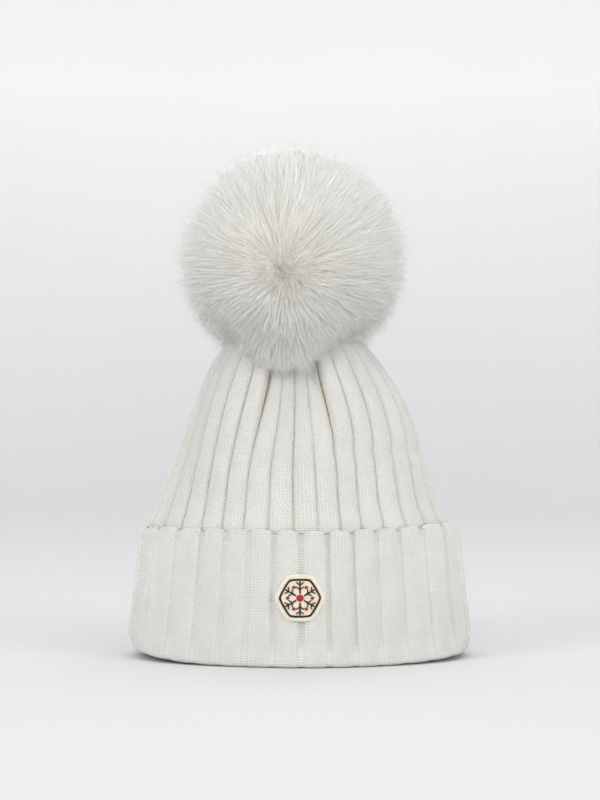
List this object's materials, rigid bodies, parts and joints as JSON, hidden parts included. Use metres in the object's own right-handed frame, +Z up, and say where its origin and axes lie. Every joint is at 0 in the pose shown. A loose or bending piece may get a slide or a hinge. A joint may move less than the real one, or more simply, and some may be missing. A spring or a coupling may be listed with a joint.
{
  "type": "pom pom beanie",
  "caption": "Ribbed knit beanie with a turned-up cuff, a small felt badge on the cuff and a fur pom that snaps on to the gathered crown.",
  "frame": {"origin": "centre of the mouth, on the surface that the cuff's fold stands on", "axes": "+Z up through the crown to the pom, front with the badge facing -Y, +X to the viewer's right"},
  "size_m": [0.2298, 0.146, 0.339],
  "materials": {
    "knit": "matte",
    "knit_thread": "matte",
    "felt_lining": "matte",
    "nickel": "polished",
    "spring_steel": "satin",
    "base_leather": "matte",
    "hide": "matte",
    "wadding": "matte",
    "fur": "satin",
    "badge_felt": "matte",
    "black_thread": "satin",
    "red_thread": "satin",
    "badge_sewing_thread": "satin",
    "label_satin": "satin",
    "label_thread": "satin"
  },
  "bodies": {
    "hat": {"crown": "knit", "back_seam": "knit_thread", "crown_gather_thread": "knit_thread", "crown_disc": "felt_lining", "snap_post": "nickel", "snap_stud": "nickel", "care_label_stitches": "label_thread"},
    "cuff_fold": {"cuff_fold": "knit", "cuff_turn_up": "knit"},
    "cuff_edge": {"cuff_edge": "knit", "badge_felt": "badge_felt", "badge_border": "black_thread", "badge_snowflake": "black_thread", "badge_centre": "red_thread", "badge_stitches": "badge_sewing_thread"},
    "snap_ring": {"snap_spring": "spring_steel"},
    "pom_base": {"snap_socket": "nickel", "snap_cap": "nickel", "pom_base": "base_leather"},
    "pom": {"pom_hide": "hide", "pom_filling": "wadding", "pom_drawstring": "knit_thread", "pom_fur": "fur"},
    "care_label": {"care_label": "label_satin"}
  },
  "joints": [
    {"name": "pom_pull", "type": "slide", "parent": "hat", "child": "snap_ring", "axis": [0, 0, 1], "range_m": [0, 0.06]},
    {"name": "pom_spin", "type": "hinge", "parent": "snap_ring", "child": "pom_base", "pos_m": [-0.0045, 0, 0.242], "axis": [0, 0, 1], "continuous": true},
    {"name": "pom_nod", "type": "hinge", "parent": "pom_base", "child": "pom", "pos_m": [-0.0045, 0, 0.248], "axis": [1, 0, 0], "range_deg": [-6, 6], "stiffness_Nm_per_rad": 0.12},
    {"name": "cuff_roll", "type": "slide", "parent": "hat", "child": "cuff_fold", "axis": [0, 0, -1], "range_m": [0, 0.02]},
    {"name": "cuff_edge_roll", "type": "slide", "parent": "cuff_fold", "child": "cuff_edge", "axis": [0, 0, -1], "range_m": [0, 0.02], "deforming": ["cuff_turn_up"]},
    {"name": "label_swing", "type": "hinge", "parent": "hat", "child": "care_label", "pos_m": [0, 0.0424, 0.068], "axis": [-1, 0, 0], "range_deg": [0, 80]}
  ],
  "couplings": [
    {"joint": "cuff_edge_roll", "follows": "cuff_roll", "ratio": 1}
  ]
}
